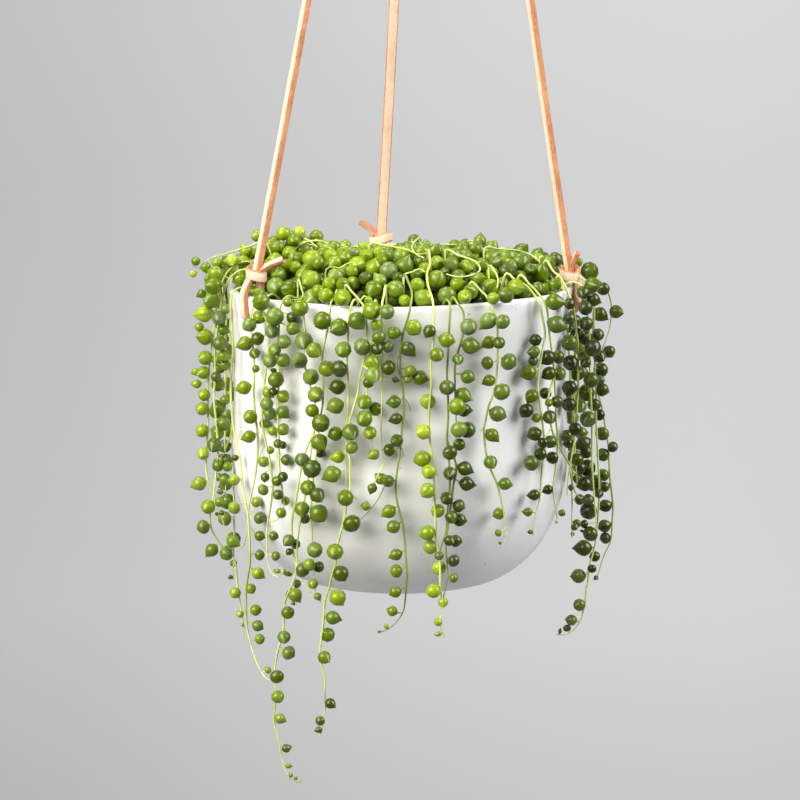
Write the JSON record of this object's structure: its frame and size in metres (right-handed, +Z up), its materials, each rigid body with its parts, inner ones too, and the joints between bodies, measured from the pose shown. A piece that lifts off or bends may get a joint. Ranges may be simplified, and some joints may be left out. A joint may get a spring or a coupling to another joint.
{
  "type": "potted string of pearls",
  "caption": "Trailing succulent with round pearl-like leaves in a glazed stoneware pot that hangs on three leather laces from a knotted loop.",
  "frame": {"origin": "the inner top of the hanging loop, where a hook carries the whole", "axes": "+Z up along the hang, -Y towards the front, +X to the right as seen from the front"},
  "size_m": [0.2121, 0.19, 0.7315],
  "materials": {
    "glazed_stoneware": "glossy white glaze over hand-formed stoneware",
    "potting_soil": "dark crumbly peat compost",
    "leather": "undyed flat leather thong with a darker cut edge",
    "pearl_leaf": "smooth waxy green leaf skin",
    "crown_leaf": "smooth waxy leaf skin, darker in the heap"
  },
  "bodies": {
    "root": {"crown": "crown_leaf", "gathering_knot": "leather", "hanging_loop": "leather", "lace_back": "leather", "lace_left": "leather", "lace_right": "leather", "pot": "glazed_stoneware", "soil": "potting_soil", "strand_back_1": "pearl_leaf", "strand_back_10": "pearl_leaf", "strand_back_11": "pearl_leaf", "strand_back_12": "pearl_leaf", "strand_back_13": "pearl_leaf", "strand_back_14": "pearl_leaf", "strand_back_15": "pearl_leaf", "strand_back_16": "pearl_leaf", "strand_back_2": "pearl_leaf", "strand_back_3": "pearl_leaf", "strand_back_4": "pearl_leaf", "strand_back_5": "pearl_leaf", "strand_back_6": "pearl_leaf", "strand_back_7": "pearl_leaf", "strand_back_8": "pearl_leaf", "strand_back_9": "pearl_leaf", "strand_centre": "pearl_leaf", "strand_centre_left": "pearl_leaf", "strand_centre_left_short": "pearl_leaf", "strand_centre_right": "pearl_leaf", "strand_cluster_left": "pearl_leaf", "strand_cluster_right": "pearl_leaf", "strand_far_left": "pearl_leaf", "strand_joined_right": "pearl_leaf", "strand_left_bare": "pearl_leaf", "strand_left_short": "pearl_leaf", "strand_left_thin": "pearl_leaf", "strand_left_wavy": "pearl_leaf", "strand_longest": "pearl_leaf", "strand_right_dense": "pearl_leaf", "strand_right_inner": "pearl_leaf", "strand_right_long": "pearl_leaf", "strand_right_outer": "pearl_leaf", "strand_right_short": "pearl_leaf", "strand_right_thin": "pearl_leaf", "strand_right_trail": "pearl_leaf", "strand_right_wavy": "pearl_leaf", "strand_second_longest": "pearl_leaf"}
  },
  "joints": []
}
